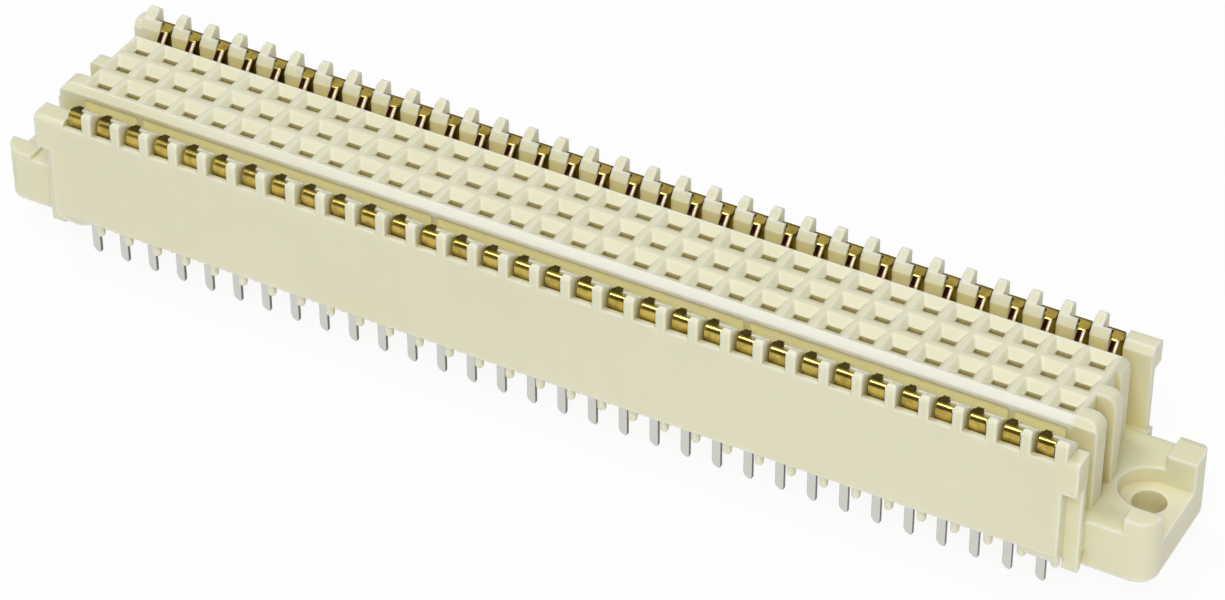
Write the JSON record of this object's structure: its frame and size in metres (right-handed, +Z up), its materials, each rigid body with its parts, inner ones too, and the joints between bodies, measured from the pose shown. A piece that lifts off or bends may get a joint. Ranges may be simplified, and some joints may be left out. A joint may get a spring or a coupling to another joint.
{
  "type": "five-row socket board connector",
  "caption": "Long cream moulded socket connector with rows of slots, gold spring contacts in two toothed outer walls, and a mounting flange at each end.",
  "frame": {"origin": "middle of the line between the two mounting holes, on the plane of the flanges' undersides, which is the board face", "axes": "+X along the rows of contacts, +Y across them, +Z up from the board towards the mating side"},
  "size_m": [0.0948, 0.0148, 0.0147],
  "materials": {
    "housing": "satin moulded plastic, cream",
    "outer_contact": "gold-plated spring with tin-plated tail",
    "inner_contact": "gold-plated fork with tin-plated tail"
  },
  "bodies": {
    "root": {"housing": "housing", "row_z_bank_1": "outer_contact", "row_z_bank_2": "outer_contact", "row_z_bank_3": "outer_contact", "row_z_bank_4": "outer_contact", "row_a_bank_1": "inner_contact", "row_a_bank_2": "inner_contact", "row_a_bank_3": "inner_contact", "row_a_bank_4": "inner_contact", "row_b_bank_1": "inner_contact", "row_b_bank_2": "inner_contact", "row_b_bank_3": "inner_contact", "row_b_bank_4": "inner_contact", "row_c_bank_1": "inner_contact", "row_c_bank_2": "inner_contact", "row_c_bank_3": "inner_contact", "row_c_bank_4": "inner_contact", "row_d_bank_1": "outer_contact", "row_d_bank_2": "outer_contact", "row_d_bank_3": "outer_contact", "row_d_bank_4": "outer_contact"}
  },
  "joints": []
}
